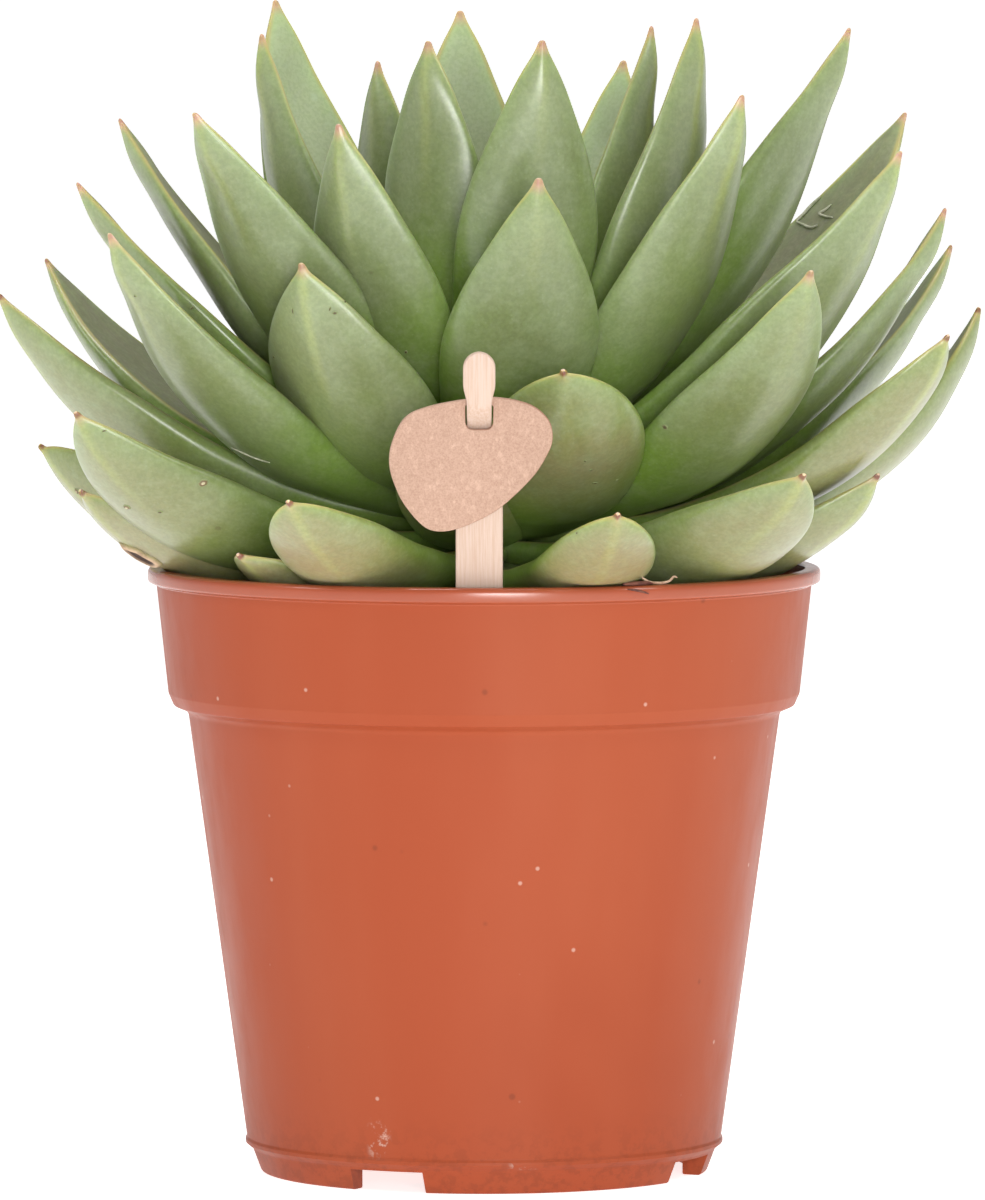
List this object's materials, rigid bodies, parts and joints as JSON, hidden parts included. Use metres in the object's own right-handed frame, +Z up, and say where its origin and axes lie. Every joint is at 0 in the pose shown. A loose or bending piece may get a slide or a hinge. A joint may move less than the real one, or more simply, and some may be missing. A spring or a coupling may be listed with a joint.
{
  "type": "potted miranda echeveria",
  "caption": "Echeveria rosette of thick pointed leaves in a terracotta-coloured plastic nursery pot, with a bare wooden plant label; stands on its foot ring.",
  "frame": {"origin": "on the surface that the pot stands on, at the centre line of the pot and about the centre of the plan", "axes": "+Z up, -Y to the front of the plant, where the label is, +X to the right seen from the front"},
  "size_m": [0.1751, 0.1538, 0.208],
  "materials": {
    "pot_plastic": "satin",
    "potting_mix": "matte",
    "stem_tissue": "matte",
    "leaf_tissue": "satin",
    "birch_wood": "satin",
    "kraft_card": "matte"
  },
  "bodies": {
    "root": {"pot": "pot_plastic", "soil": "potting_mix", "stem": "stem_tissue", "heart": "leaf_tissue", "label_stake": "birch_wood", "label_card": "kraft_card", "leaf_01": "leaf_tissue", "leaf_02": "leaf_tissue", "leaf_03": "leaf_tissue", "leaf_04": "leaf_tissue", "leaf_05": "leaf_tissue", "leaf_06": "leaf_tissue", "leaf_07": "leaf_tissue", "leaf_08": "leaf_tissue", "leaf_09": "leaf_tissue", "leaf_10": "leaf_tissue", "leaf_11": "leaf_tissue", "leaf_12": "leaf_tissue", "leaf_13": "leaf_tissue", "leaf_14": "leaf_tissue", "leaf_15": "leaf_tissue", "leaf_16": "leaf_tissue", "leaf_17": "leaf_tissue", "leaf_18": "leaf_tissue", "leaf_19": "leaf_tissue", "leaf_20": "leaf_tissue", "leaf_21": "leaf_tissue", "leaf_22": "leaf_tissue", "leaf_23": "leaf_tissue", "leaf_24": "leaf_tissue", "leaf_25": "leaf_tissue", "leaf_26": "leaf_tissue", "leaf_27": "leaf_tissue", "leaf_28": "leaf_tissue", "leaf_29": "leaf_tissue", "leaf_30": "leaf_tissue", "leaf_31": "leaf_tissue", "leaf_32": "leaf_tissue", "leaf_33": "leaf_tissue", "leaf_34": "leaf_tissue", "leaf_35": "leaf_tissue", "leaf_36": "leaf_tissue", "leaf_37": "leaf_tissue", "leaf_38": "leaf_tissue", "leaf_39": "leaf_tissue", "leaf_40": "leaf_tissue", "leaf_41": "leaf_tissue", "leaf_42": "leaf_tissue", "leaf_43": "leaf_tissue", "leaf_44": "leaf_tissue", "leaf_45": "leaf_tissue", "leaf_46": "leaf_tissue", "leaf_47": "leaf_tissue", "leaf_48": "leaf_tissue", "leaf_49": "leaf_tissue", "leaf_50": "leaf_tissue", "leaf_51": "leaf_tissue", "leaf_52": "leaf_tissue", "leaf_53": "leaf_tissue", "leaf_54": "leaf_tissue"}
  },
  "joints": []
}
